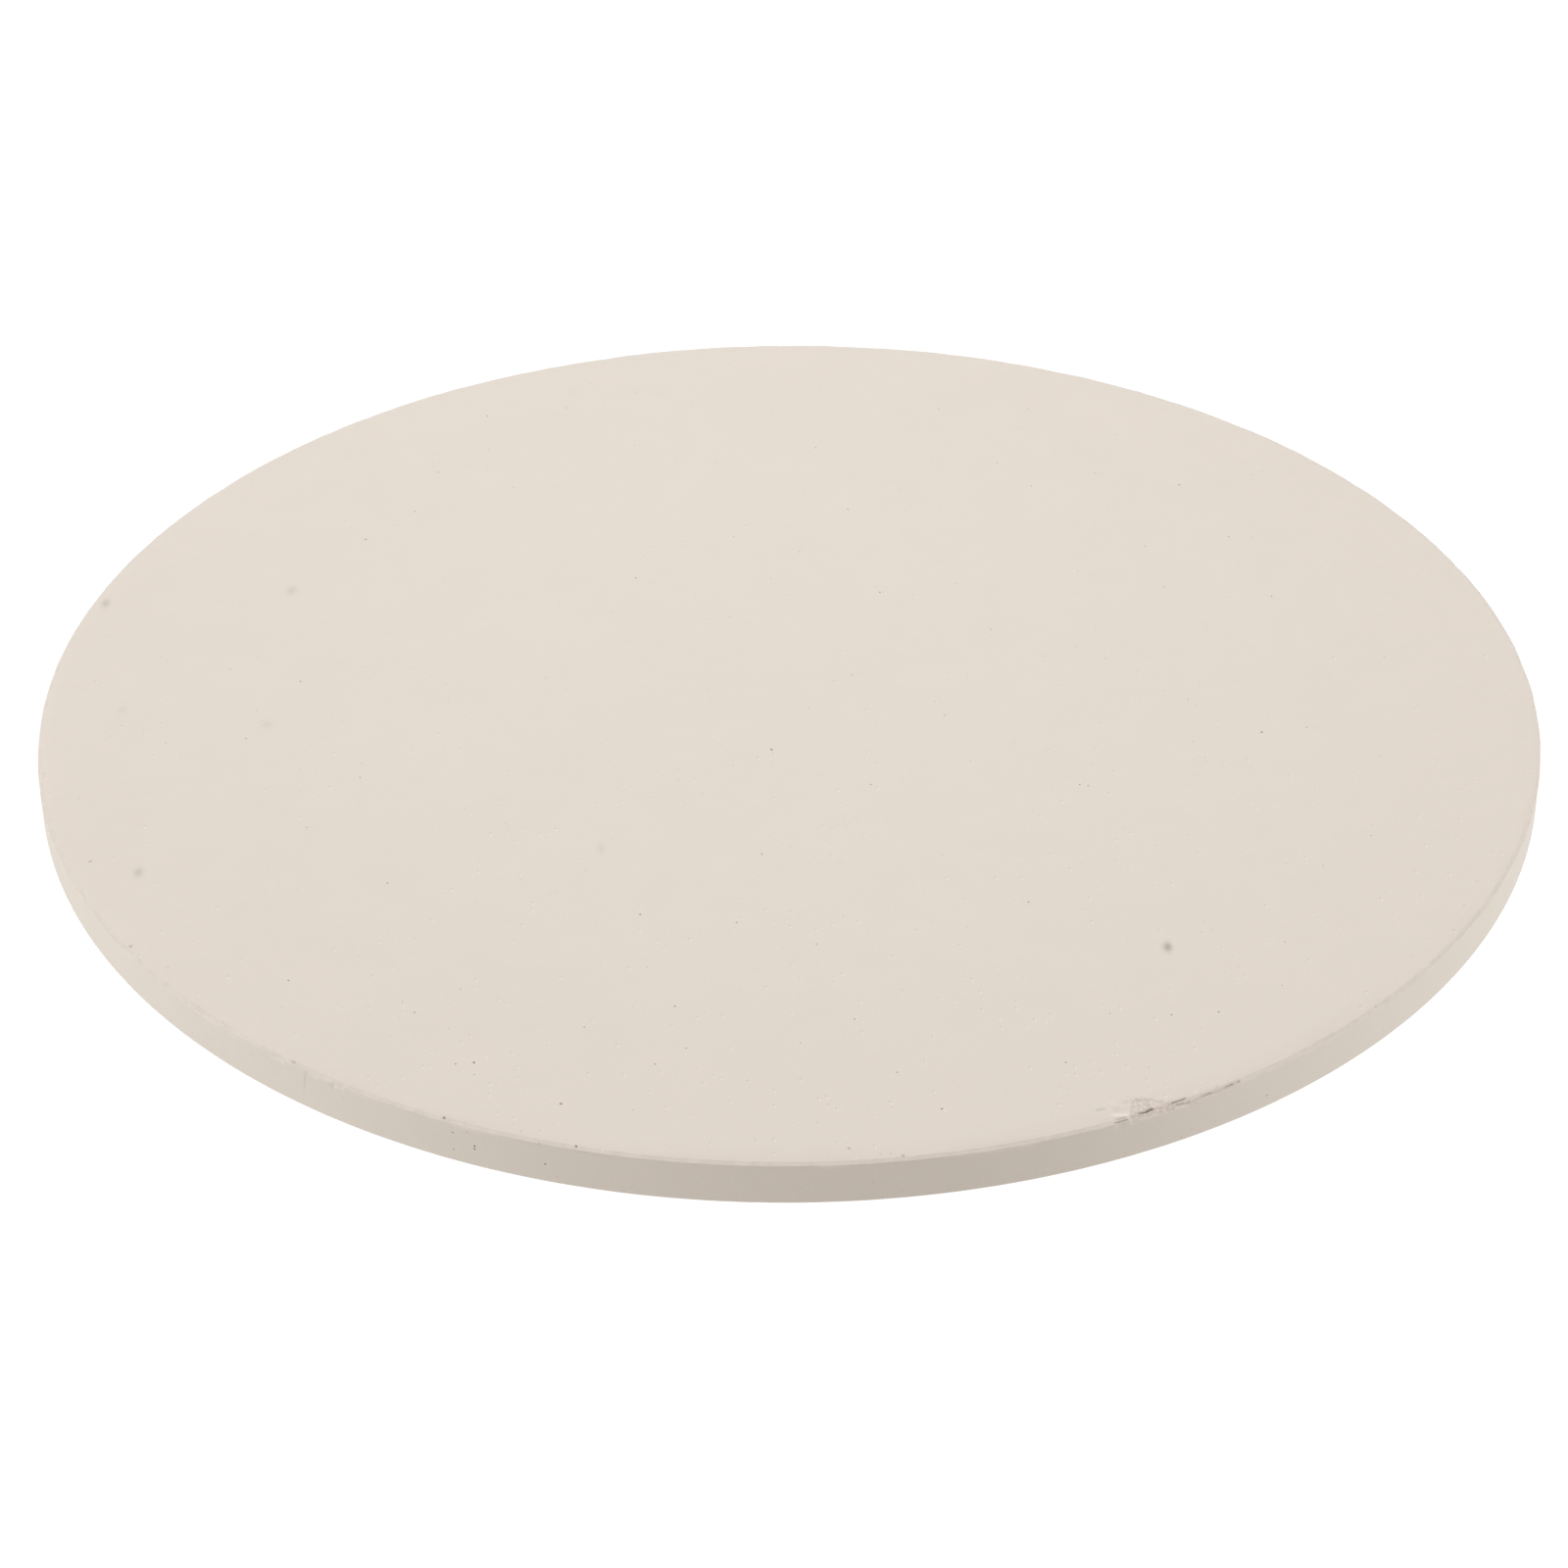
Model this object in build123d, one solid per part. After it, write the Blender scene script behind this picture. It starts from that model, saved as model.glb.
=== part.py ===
from build123d import *
import os

# Round baking stone, pressed and fired in one piece. Lengths are in millimetres.
# Origin: centre of the flat resting face. +Z points up through the baking face.

# Overall slab
stone_diameter = 330.0
stone_thickness = 10.0

# Shallow band that the press rolls down around the baking face
rolled_band_width = 3.5
rolled_band_drop = 0.2

# Small facet that breaks the top corner, between the rolled band and the wall
top_arris_width = 0.7
top_arris_height = 0.7

# Smaller facet that breaks the corner of the resting face
foot_arris_width = 0.4
foot_arris_height = 0.4

# Places on the rim, worked out from the sizes above
stone_radius = stone_diameter / 2
foot_radius = stone_radius - foot_arris_width
shoulder_radius = stone_radius - top_arris_width
shoulder_height = stone_thickness - rolled_band_drop
wall_top_height = shoulder_height - top_arris_height
baking_face_radius = shoulder_radius - rolled_band_width


def stone_section():
    """Half of the slab's section in the XZ plane, from the turning axis out to the rim."""
    with BuildSketch(Plane.XZ) as section:
        with BuildLine():
            resting_face = Line((0, 0), (foot_radius, 0))
            foot_arris = Line(resting_face @ 1, (stone_radius, foot_arris_height))
            wall = Line(foot_arris @ 1, (stone_radius, wall_top_height))
            top_arris = Line(wall @ 1, (shoulder_radius, shoulder_height))
            baking_face = Line((0, stone_thickness), (baking_face_radius, stone_thickness))
            # The rolled band leaves the baking face without a crease, so its arc starts level
            TangentArc(baking_face @ 1, top_arris @ 1, tangent=baking_face % 1)
            Line(baking_face @ 0, resting_face @ 0)
        make_face()
    return section.sketch


def baking_stone():
    """The slab: its half section turned once about the vertical axis."""
    return revolve(stone_section(), axis=Axis.Z)


os.makedirs("parts", exist_ok=True)
export_step(baking_stone(), "parts/baking_stone.step")
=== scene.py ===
import math
from typing import NamedTuple

import bpy
import numpy as np
from bpy.props import FloatProperty, FloatVectorProperty, IntProperty, PointerProperty
from mathutils import Matrix, Vector


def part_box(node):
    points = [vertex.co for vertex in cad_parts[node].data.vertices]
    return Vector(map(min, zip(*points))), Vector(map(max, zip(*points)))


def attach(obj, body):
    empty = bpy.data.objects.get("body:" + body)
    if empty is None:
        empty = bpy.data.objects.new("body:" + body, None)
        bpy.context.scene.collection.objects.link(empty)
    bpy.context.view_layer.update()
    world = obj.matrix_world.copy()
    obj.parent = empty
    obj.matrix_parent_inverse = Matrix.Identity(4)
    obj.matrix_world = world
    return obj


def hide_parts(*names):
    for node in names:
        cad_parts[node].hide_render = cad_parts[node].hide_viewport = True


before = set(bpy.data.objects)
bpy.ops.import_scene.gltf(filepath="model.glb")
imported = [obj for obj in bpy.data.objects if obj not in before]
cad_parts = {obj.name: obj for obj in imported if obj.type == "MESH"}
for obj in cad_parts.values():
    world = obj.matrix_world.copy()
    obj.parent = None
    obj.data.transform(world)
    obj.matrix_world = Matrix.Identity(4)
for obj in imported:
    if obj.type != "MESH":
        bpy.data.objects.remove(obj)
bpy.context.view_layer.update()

bl_info = {
    "name": "Pizza Stone",
    "version": (1, 0, 0),
    "blender": (4, 5, 0),
    "location": "View3D > Sidebar > Pizza Stone",
    "description": "Models a round fired-clay pizza stone and the studio it lies in",
    "category": "Object",
}

# Blender works in metres, so a size in millimetres is written as a number times MM
MM = 0.001
STONE_NODE = "baking_stone"
BODY = "root"
STONE_LOW, STONE_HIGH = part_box(STONE_NODE)
STONE_RADIUS = min(-STONE_LOW.x, STONE_HIGH.x, -STONE_LOW.y, STONE_HIGH.y)
STONE_THICKNESS = STONE_HIGH.z
SENSOR_WIDTH = 36.0
# What each point of the skin carries for the material: how bare the clay is, how dark it is painted for dirt
# and for shade in hollows, and how pale for pale grains and painted highlights
FINISH = ("bare", "dirt_and_shade", "pale_and_highlight")
DIRT_AND_SHADE = FINISH.index("dirt_and_shade")
# The cells along each side of the two flat faces' grids, and the width of the strips that join
# these faces to the rim
FACE_CELLS, BASE_CELLS = 80, 50
STITCHED_STRIP = 1.8 * MM

# The soft brown spots where iron bled into the clay: X and Y on the baking face, width along X and
# length along Y in millimetres, and how far the middle is stained
IRON_SPOTS = (
    (76.0, -97.6, 0.86, 1.55, 0.47),
    (-134.9, -70.1, 0.96, 1.55, 0.24),
    (-157.2, 37.4, 1.00, 1.75, 0.24),
    (-114.9, 42.8, 1.15, 1.70, 0.17),
    (-114.4, -14.1, 1.30, 1.65, 0.095),
    (-146.9, -8.1, 1.00, 1.40, 0.085),
    (-39.4, -62.1, 0.85, 1.75, 0.11),
)

# The square soft boxes, turned towards the stone: angle round the stone and above the floor in
# degrees, distance and side in metres, and power in watts
SOFT_BOXES = {
    "left_soft_box": (192.2, 33.2, 2.2, 1.35, 36.1),
    "right_low_soft_box": (7.6, 6.9, 2.2, 0.50, 10.2),
    "right_high_soft_box": (-12.1, 48.9, 2.2, 1.35, 29.3),
    "back_soft_box": (96.8, 32.0, 1.2, 0.80, 5.6),
}


class RimMark(NamedTuple):
    """A dent in the rim. Its middle is given in degrees round the stone and in millimetres down the
    section from the shoulder, where the rolled band ends. half_length is its reach round the stone,
    half_width its reach along the section, and it runs down by slant for each millimetre round.
    dirt_and_shade is how dark its floor is painted, for dirt and for painted shade in the hollow, and
    pale_and_highlight how light, for pale grains and for the painted highlight of a raised lip."""
    angle: float
    down: float
    half_length: float
    half_width: float
    depth: float
    dirt_and_shade: float
    slant: float = 0.0
    pale_and_highlight: float = 0.0


RIM_MARKS = [RimMark(*numbers) for numbers in (
    # Crevices and grooves where flakes of the rim lifted, darkened with dirt and painted shade
    (-65.7, -0.1, 1.75, 0.19, 0.45, 0.58),
    (-65.4, -0.16, 0.95, 0.26, 0.3, 0.7),
    (-63.2, -0.08, 1.7, 0.14, 0.32, 0.8),
    (-67.6, -0.02, 1.2, 0.11, 0.24, 0.34),
    (-67.65, 0.66, 1.5, 0.13, 0.26, 0.46, -0.04),
    (-60.6, 0.85, 5.9, 0.44, 0.38, 0.17, -0.03),
    (-61.15, 0.75, 1.3, 0.26, 0.16, 0.22),
    (-59.3, 0.72, 1.0, 0.26, 0.16, 0.22),
    (-58.45, 0.62, 0.35, 0.26, 0.25, 0.24),
    (-63.2, 0.95, 0.9, 0.26, 0.26, 0.13),
    # Shallow dents and smudges beside them, darkened with dirt and painted shade
    (-68.45, -3.7, 0.9, 0.42, 0.16, 0.19),
    (-67.45, -2.5, 0.9, 0.6, 0.14, 0.1),
    (-66.5, -3.7, 0.6, 0.45, 0.16, 0.13),
    (-65.55, -3.1, 0.9, 0.6, 0.14, 0.16),
    (-65.2, -2.2, 0.6, 0.4, 0.14, 0.12),
    (-64.35, -1.2, 0.6, 0.22, 0.14, 0.14),
    (-63.9, -3.1, 2.8, 1.0, 0.14, 0.03),
    (-67.75, 1.4, 0.9, 0.7, 0.12, 0.06),
    # The lifted lip of the flake that stayed on, painted pale as a highlight, and pale grains where skin
    # came away
    (-67.5, -0.75, 1.75, 0.32, -0.08, 0.0, 0.28, 0.72),
    (-68.35, -4.35, 0.8, 0.25, 0.05, 0.0, 0.0, 0.16),
    (-67.35, -4.5, 0.9, 0.4, 0.05, 0.0, 0.0, 0.14),
    (-66.0, -1.15, 0.6, 0.3, 0.05, 0.0, 0.0, 0.28),
    (-65.0, -0.75, 0.35, 0.2, 0.05, 0.0, -0.3, 0.4),
    (-64.5, -2.1, 0.45, 0.3, 0.05, 0.0, 0.4, 0.26),
    (-63.9, -0.9, 0.5, 0.22, 0.05, 0.0, 0.0, 0.24),
    (-61.7, -0.85, 0.6, 0.26, 0.05, 0.0, 0.0, 0.24),
    (-60.1, -1.25, 0.45, 0.24, 0.05, 0.0, 0.0, 0.18),
    # Soft dents that make the worn arris waver on the left
    (-127.3, 1.05, 2.2, 0.5, 0.2, 0.0),
    (-124.0, 1.1, 1.2, 0.45, 0.16, 0.0),
    (-121.9, 1.05, 1.4, 0.5, 0.24, 0.02),
    # The nick on the left, darkened with painted shade
    (-125.8, 0.2, 0.5, 0.16, 0.25, 0.22),
    (-122.3, 1.5, 0.6, 0.6, 0.05, 0.03),
    (-120.2, 1.4, 0.5, 0.15, 0.08, 0.06),
    (-103.2, 1.2, 3.4, 0.14, 0.06, 0.06),
    # Wide pits of the rolled band and the top arris, their floors darkened with painted shade
    (-155.6, -4.6, 0.22, 0.24, 0.3, 0.6),
    (-144.3, -0.6, 0.24, 0.24, 0.3, 0.55),
    (-113.6, 0.1, 0.22, 0.22, 0.35, 0.7),
    (-104.2, 0.2, 0.2, 0.2, 0.35, 0.7),
    (-86.1, -3.2, 0.2, 0.26, 0.35, 0.6),
    (-82.6, -0.1, 0.24, 0.2, 0.3, 0.45),
    # Faint pits, with a little painted shade
    (-168.4, -0.7, 0.22, 0.22, 0.12, 0.25),
    (-140.4, -2.6, 0.28, 0.24, 0.12, 0.2),
    (-132.7, 0.0, 0.24, 0.22, 0.12, 0.2),
    (-108.2, -1.0, 0.24, 0.22, 0.12, 0.2),
    (-84.1, -1.0, 0.22, 0.22, 0.12, 0.2),
    (-45.4, 0.2, 0.24, 0.22, 0.12, 0.2),
    (-31.3, -3.3, 0.24, 0.24, 0.12, 0.2),
    (-28.0, -4.0, 0.24, 0.24, 0.12, 0.2),
)]

# The hairline crack in the wall: its angle at CRACK_TOP, and its sizes in millimetres. It slants by
# CRACK_SLANT for each millimetre down. The distances down the section where it starts, is whole,
# begins to fade and ends follow.
CRACK_ANGLE = -124.5
CRACK_HALF_WIDTH = 0.15
CRACK_SLANT = 0.21
CRACK_WANDER = 0.15
CRACK_START, CRACK_WHOLE, CRACK_FADE, CRACK_END = 0.5, 1.1, 3.5, 7.5
CRACK_TOP = 0.8
# How deep the crack is, and how much painted shade darkens it
CRACK_DEPTH, CRACK_SHADE = 0.08, 0.20
# The humps of the crack's wander, and how many times longer round the stone they are
CRACK_HUMP, CRACK_LONG_WAY, CRACK_SEED = 2.0, 8.0, 33

# Bell curves down the section: their middle and their reach, in millimetres from the shoulder
ROUNDED_SHOULDER = (0.0, 0.6)
WORN_ARRIS = (0.5, 1.1)
BROKEN_CORNER = (0.7, 0.8)
BAND_SHADE = (-2.2, 1.8)
# The stretch of the band that gets painted shade, in degrees round the stone
BAND_SHADE_MIDDLE, BAND_SHADE_REACH = -67, 31

# The stretch where the pressed skin crumbled and the bruise beside it, as straight edges on the
# unrolled rim. A place lies inside an edge by the first number times its distance round the stone
# from CRUMBLED_ANGLE, plus the second times its distance down, plus the third, in millimetres.
CRUMBLED_ANGLE = -66.0
CRUMBLED_ENDS = ((1.0, 0.0, 3.2), (-1.0, 0.0, 10.5))
CRUMBLED_SIDES = ((-0.45, 0.9, 4.14), (0.0, -1.0, 1.9), (1.52, 0.8, 4.4))
BRUISE_EDGES = ((1.0, 0.0, 9.5), (-1.0, 0.0, -0.8), (0.0, 1.0, 5.4), (0.0, -1.0, -0.6))
# How far their edges and the broken corner's ends fade, in millimetres
CRUMBLED_FADE, BRUISE_FADE, CORNER_FADE = 0.9, 1.6, 1.6
# How deep and how bare the bruise is, as shares of the crumbled stretch
BRUISE_DEPTH_SHARE, BRUISE_BARE_SHARE = 0.55, 0.12

# Layers of soft noise: the size of each one's humps in millimetres, its seed and its strength
ARRIS_WANDER = ((9.0, 11, 1.0), (3.0, 12, 0.9))
WALL_RIPPLE = ((2.5, 13, 1.0),)
RAGGED_EDGE = ((2.4, 21, 0.5), (0.9, 22, 0.35))
CRUMBS = ((1.1, 23, 0.4), (0.5, 24, 0.3))
MARK_RIPPLE = ((0.9, 31, 0.5),)
# What the wander of the arris and the crumbs waver about
MEAN_WANDER, MEAN_CRUMB = 0.8, 0.5
# How bare a crumbled place is where no crumb is lost, and how much more for a whole crumb
LEAST_BARE, BARE_WITH_CRUMB = 0.65, 0.6
# How far below the shoulder the wall starts to be uneven, in millimetres
WALL_START = 0.5
# The noise repeats after so many humps down the section
NOISE_ROWS = 64

# The widest pinholes of the baking face, as x and y in millimetres
WIDE_FACE_PINHOLES = (
    (111.1, 38.2), (-26.1, -134.9), (-10.8, -88.6), (84.2, -119.1), (74.9, -120.0), (-5.9, -64.4),
    (17.5, -38.6), (12.4, -120.8), (-30.0, -85.8), (69.3, -68.2), (-92.1, -35.1), (6.9, 109.3),
    (48.9, -81.9), (-64.7, -134.6), (104.1, 65.5), (28.7, -149.1), (53.2, -134.8), (-22.7, -116.5),
)
# The widest pinholes of the wall, as degrees round the stone and height in millimetres
WIDE_WALL_PINHOLES = (
    (-112.9, 7.1), (-112.9, 2.9), (-111.4, 5.1), (-111.5, 4.1), (-106.3, 4.6), (-56.1, 3.3),
)
# A pinhole's radius as shares of the usual one: the least, how far most exceed it, and the widest
LEAST_PINHOLE, PINHOLE_SPREAD, WIDE_PINHOLE = 0.55, 0.5, 2.2
# A chance pinhole falls where the clay is less worn than SOUND_LIMIT, in a cell that is wider than
# PINHOLE_ROOM usual radii. No radius is more than MOST_OF_ROOM of its cell's width, and a pinhole's
# middle keeps CLEARANCE radii away from its cell's sides.
SOUND_LIMIT, PINHOLE_ROOM, MOST_OF_ROOM, CLEARANCE = 0.05, 2.5, 0.3, 1.5
PINHOLE_SEED = 41
# The points of each ring of a pinhole, the size of its rings as shares of its radius, and how much painted
# shade darkens the level ring, the lip, the foot and the bottom
RING = 8
LEVEL_RING, LIP_RANGE, FOOT_RING, BOTTOM_DEPTH = 1.25, (0.85, 1.15), 0.7, 1.3
PINHOLE_SHADE = (0.0, 0.2, 0.75, 0.75)

# Noise in the materials: the size of its humps in millimetres, its detail and its roughness
MOTTLE = (16.0, 3.0, 0.9)
SPECK_CLUSTERS = (22.0, 2.0, 0.6)
SPOT_OUTLINE = (1.1, 2.0, 0.5)
BROKEN_GRAINS = (0.6, 3.0, 0.6)
TORN_EDGE = (0.9, 2.0, 0.6)
DARKENED_ARRIS_STRETCHES = (3.2, 2.0, 0.65)
ARRIS_CHIPS = (1.3, 2.0, 0.6)
COARSE_GRAIN = (0.35, 2.0, 0.5)
# Where most of a noise's values lie, and where about two thirds of them do
NOISE_SPAN, CORE_SPAN = (0.3, 0.7), (0.35, 0.65)
MOTTLE_SHADES, BROKEN_SHADES = (0.993, 1.007), (0.86, 1.10)
# The fine grain of the clay and of the floor's paper: its size and its contrast
CLAY_GRAIN = {"Size": 0.45 * MM, "Contrast": 0.04}
PAPER_GRAIN = {"Size": 2.0 * MM, "Contrast": 0.01}
# The dark part of the specks, painted shade of pits too small to model, and the pale part, a painted
# highlight beside each pit: their sizes, the way from one to the other, and how strong they are, for the
# highlight on the face and on the wall
PIT_SHADE_PART = {"Spacing": 1.7 * MM, "Radius": 0.21 * MM}
HIGHLIGHT_PART = {"Spacing": 1.7 * MM, "Radius": 0.28 * MM}
HIGHLIGHT_SIDE = (-0.30 * MM, 0.80 * MM, 0.0)
PIT_SHADE_STRENGTH, HIGHLIGHT_STRENGTHS = 0.38, (0.70, 0.20)
# The share of the places that have a speck, front to back, and how clusters multiply it
FRONT_TO_BACK, SPECK_SHARES = (-140 * MM, 40 * MM), (0.46, 0.10)
CLUSTERING = (0.3, 1.7)
# Where the painted shade towards the rim starts, where the wall's darker and warmer painted shade starts,
# and how the arris's darkening fades
RIM_SHADE_START = 60 * MM
WALL_ENDS = (STONE_RADIUS - 0.15 * MM, STONE_RADIUS - 0.03 * MM)
ARRIS_ENDS = (0.35 * MM, 1.05 * MM)
# Between these the skin goes from whole to torn away, and the arris from darkened to clean
TORN_ENDS, DARKENED_ENDS = (0.75, 1.25), (0.40, 0.58)
# How far the roughness wavers, how strong the coarse grain is, and how much rougher bare clay is
ROUGHNESS_SWING, COARSE_SHARE, BARE_ROUGHENING = 0.05, 0.4, 1.5


def length_property(name, description, default):
    """A size, with its default in millimetres."""
    return FloatProperty(name=name, description=description, default=default * MM, unit="LENGTH")


def angle_property(name, description, default):
    """An angle, with its default in degrees."""
    return FloatProperty(
        name=name, description=description, default=math.radians(default), subtype="ANGLE")


def colour_property(name, description, default):
    return FloatVectorProperty(name=name, description=description, default=default, subtype="COLOR")


def share_property(name, description, default):
    """A share, from 0 to 1."""
    return FloatProperty(
        name=name, description=description, default=default, min=0.0, max=1.0, subtype="FACTOR")


def count_property(name, description, default):
    return IntProperty(name=name, description=description, default=default, min=0)


class StoneShape(bpy.types.PropertyGroup):
    """Sizes of the rim."""

    band_width: length_property("Rolled band width", "Width of the shallow band round the baking face", 3.5)
    band_drop: length_property("Rolled band drop", "How far the band dips before the top arris", 0.2)
    top_arris: length_property("Top arris", "Width and height of the facet that breaks the top corner", 0.7)
    foot_arris: length_property("Foot arris", "Width and height of the facet at the resting face", 0.4)


class StoneWear(bpy.types.PropertyGroup):
    """Pinholes and damage of the fired surface."""

    face_pinholes: count_property("Face pinholes", "Chance pinholes in the baking face", 420)
    rim_pinholes: count_property("Rim pinholes", "Chance pinholes in the band and the wall", 90)
    base_pinholes: count_property("Base pinholes", "Chance pinholes in the resting face", 220)
    pinhole_radius: length_property("Pinhole radius", "Radius that most pinholes are near", 0.10)
    shoulder_loss: length_property("Shoulder loss", "Depth of the rounding above the top arris", 0.06)
    unevenness: length_property("Unevenness", "How far the top arris wanders from a true circle", 0.09)
    wall_unevenness: length_property("Wall unevenness", "How uneven the wall is", 0.012)
    crumble_depth: length_property("Crumble depth", "Depth of the crumbled patch on the rim", 0.19)
    corner_loss: length_property("Corner loss", "Depth lost from the top arris at the crumbled patch", 0.30)
    # Painted shade on the front of the rolled band, where its slope turns towards the dimmer front.
    band_shading: share_property("Band soiling", "How dirty the front of the rolled band is", 0.020)


class ClayFinish(bpy.types.PropertyGroup):
    """Colours and surface of the fired clay."""

    clay: colour_property("Clay", "The middle of the pressed face", (0.702, 0.664, 0.616))
    # Painted shade: the face is painted a little darker towards the rim, where the light falls off.
    shaded_rim_clay: colour_property("Rim clay", "The face at the rim, a shade darker", (0.694, 0.652, 0.606))
    # Painted shade: the wall is a darker, warmer copy of the clay, standing for the dimmer, warmer light on
    # the side faces.
    shaded_wall_clay: colour_property("Wall clay", "The wall, a shade warmer", (0.641, 0.599, 0.546))
    broken_clay: colour_property("Broken clay", "The clay under the pressed skin", (0.645, 0.594, 0.558))
    # Besides the iron spots, this colour paints the dark specks, the dirt of the marks, and the painted
    # shade in holes, dents, the crack and on the band.
    iron_and_shade: colour_property("Iron", "Iron spots, and the dirt in holes", (0.125, 0.095, 0.070))
    # This colour also paints the highlights: the pale side of the specks and the lit lip of the lifted
    # flake.
    pale_clay_and_highlight: colour_property("Pale clay", "The pale grains and the lifted flake", (0.88, 0.83, 0.77))
    # How much darker stretches of the top arris are painted.
    arris_darkening: share_property("Arris soiling", "How dirty stretches of the top arris are", 0.048)
    arris_chips: length_property("Arris chips", "How deep the fine chips of the top arris are", 0.09)
    roughness: share_property("Roughness", "Roughness of the unglazed surface", 0.86)
    grain_height: length_property("Grain height", "Height of the surface grain", 0.010)


class StudioSettings(bpy.types.PropertyGroup):
    """Camera, lights and floor."""

    elevation: angle_property("Elevation", "Camera's angle above the floor, seen from the stone", 33.089)
    distance: length_property("Distance", "From the camera to the centre of the resting face", 861.4)
    focal_length: FloatProperty(
        name="Focal length", description="Focal length of the lens in millimetres", default=88.425)
    pan: angle_property("Pan", "Camera's turn to the left of the stone's centre", 0.0757)
    tilt: angle_property("Tilt", "Camera's turn up from the stone's centre", -0.872)
    roll: angle_property("Roll", "Camera's turn about its line of sight", -0.256)
    room_light: colour_property("Room light", "Light from the camera's side", (0.222, 0.135, 0.060))
    box_light: share_property("Box light", "Light of the soft boxes, as a share of their own power", 1.0)
    floor: colour_property("Floor", "The floor sheet", (0.066, 0.066, 0.066))
    floor_glow: share_property("Floor glow", "Light that comes through the floor sheet from below", 1.0)


def ease(t):
    """The curve 3t^2 - 2t^3, which is level at 0 and at 1 and flat beyond them."""
    t = np.clip(t, 0.0, 1.0)
    return t * t * (3 - 2 * t)


def bell(t):
    """The bell curve e^(-t^2), 1 at t = 0."""
    return np.exp(-(t**2))


def fading(share):
    """1 in the middle, and 0 at an end by the easing curve. share is how far from the middle, as a
    share of a reach, and the curve runs from 0.625 to 1.25 of it."""
    return ease(1.6 * (1.25 - np.abs(share)))


def value_noise(across, along, seed, wrap):
    """Soft chance heights from -1 to 1: a seeded height at each whole-number place, blended between
    the four nearest places by the easing curve. It repeats after wrap places across."""
    heights = np.random.default_rng(seed).uniform(-1.0, 1.0, (wrap, NOISE_ROWS))
    column, row = np.floor(across).astype(int), np.floor(along).astype(int)
    blend_across, blend_along = ease(across - column), ease(along - row)

    def height(step_across, step_along):
        return heights[(column + step_across) % wrap, (row + step_along) % NOISE_ROWS]

    near = height(0, 0) * (1 - blend_across) + height(1, 0) * blend_across
    far = height(0, 1) * (1 - blend_across) + height(1, 1) * blend_across
    return near * (1 - blend_along) + far * blend_along


class Section:
    """The rim's section as rows of radius and height, from the baking face to the resting face. down
    is each row's distance along it from the shoulder, and normal_r and normal_z point outwards."""

    APRON, APRON_ROWS = 2.6 * MM, 9
    BAND_ROWS, BAND_CROWDING = 16, 1.3
    TOP_ARRIS_ROWS, WALL_ROWS, FOOT_ARRIS_ROWS = 8, 20, 3
    FOOT_STRIP, FOOT_STRIP_ROWS = 4.0 * MM, 4
    ROUNDING = 0.5 * MM

    def __init__(self, shape):
        """The rolled band is an arc that starts level, with radius (width^2 + drop^2) / (2 drop). The
        wall's rows are closer together near both its ends, by the curve (1 - cos t) / 2."""
        shoulder_r = STONE_RADIUS - shape.top_arris
        shoulder_z = STONE_THICKNESS - shape.band_drop
        band_r = shoulder_r - shape.band_width
        foot_r = STONE_RADIUS - shape.foot_arris
        wall_top = shoulder_z - shape.top_arris
        apron = np.linspace(band_r - self.APRON, band_r, self.APRON_ROWS, endpoint=False)
        inwards = np.linspace(1.0, 0.0, self.BAND_ROWS, endpoint=False) ** self.BAND_CROWDING
        band = shoulder_r - shape.band_width * inwards
        arc = (shape.band_width**2 + shape.band_drop**2) / (2 * shape.band_drop)
        band_z = STONE_THICKNESS - arc + np.sqrt(arc**2 - (band - band_r) ** 2)
        top_arris = np.linspace(0.0, shape.top_arris, self.TOP_ARRIS_ROWS, endpoint=False)
        share = (1 - np.cos(np.linspace(0.0, math.pi, self.WALL_ROWS, endpoint=False))) / 2
        wall = wall_top + (shape.foot_arris - wall_top) * share
        foot_arris = np.linspace(0.0, shape.foot_arris, self.FOOT_ARRIS_ROWS, endpoint=False)
        strip = np.linspace(foot_r, foot_r - self.FOOT_STRIP, self.FOOT_STRIP_ROWS)
        self.radius = np.concatenate([
            apron, band, shoulder_r + top_arris, np.full_like(wall, STONE_RADIUS),
            STONE_RADIUS - foot_arris, strip])
        self.height = np.concatenate([
            np.full_like(apron, STONE_THICKNESS), band_z, shoulder_z - top_arris, wall,
            shape.foot_arris - foot_arris, np.zeros_like(strip)])
        step = np.hypot(np.diff(self.radius), np.diff(self.height))
        travelled = np.concatenate([[0.0], np.cumsum(step)])
        self.down = travelled - travelled[len(apron) + len(band)]
        self.set_normals()

    def set_normals(self):
        """A row's normal is the mean of those round it, weighed by a bell curve, so that wear which
        crosses a corner doesn't fold there."""
        middle = (self.down[1:] + self.down[:-1]) / 2
        weight = bell((self.down[:, None] - middle[None, :]) / self.ROUNDING)
        out_r = weight @ -np.diff(self.height)
        out_z = weight @ np.diff(self.radius)
        length = np.hypot(out_r, out_z)
        self.normal_r, self.normal_z = out_r / length, out_z / length


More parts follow.
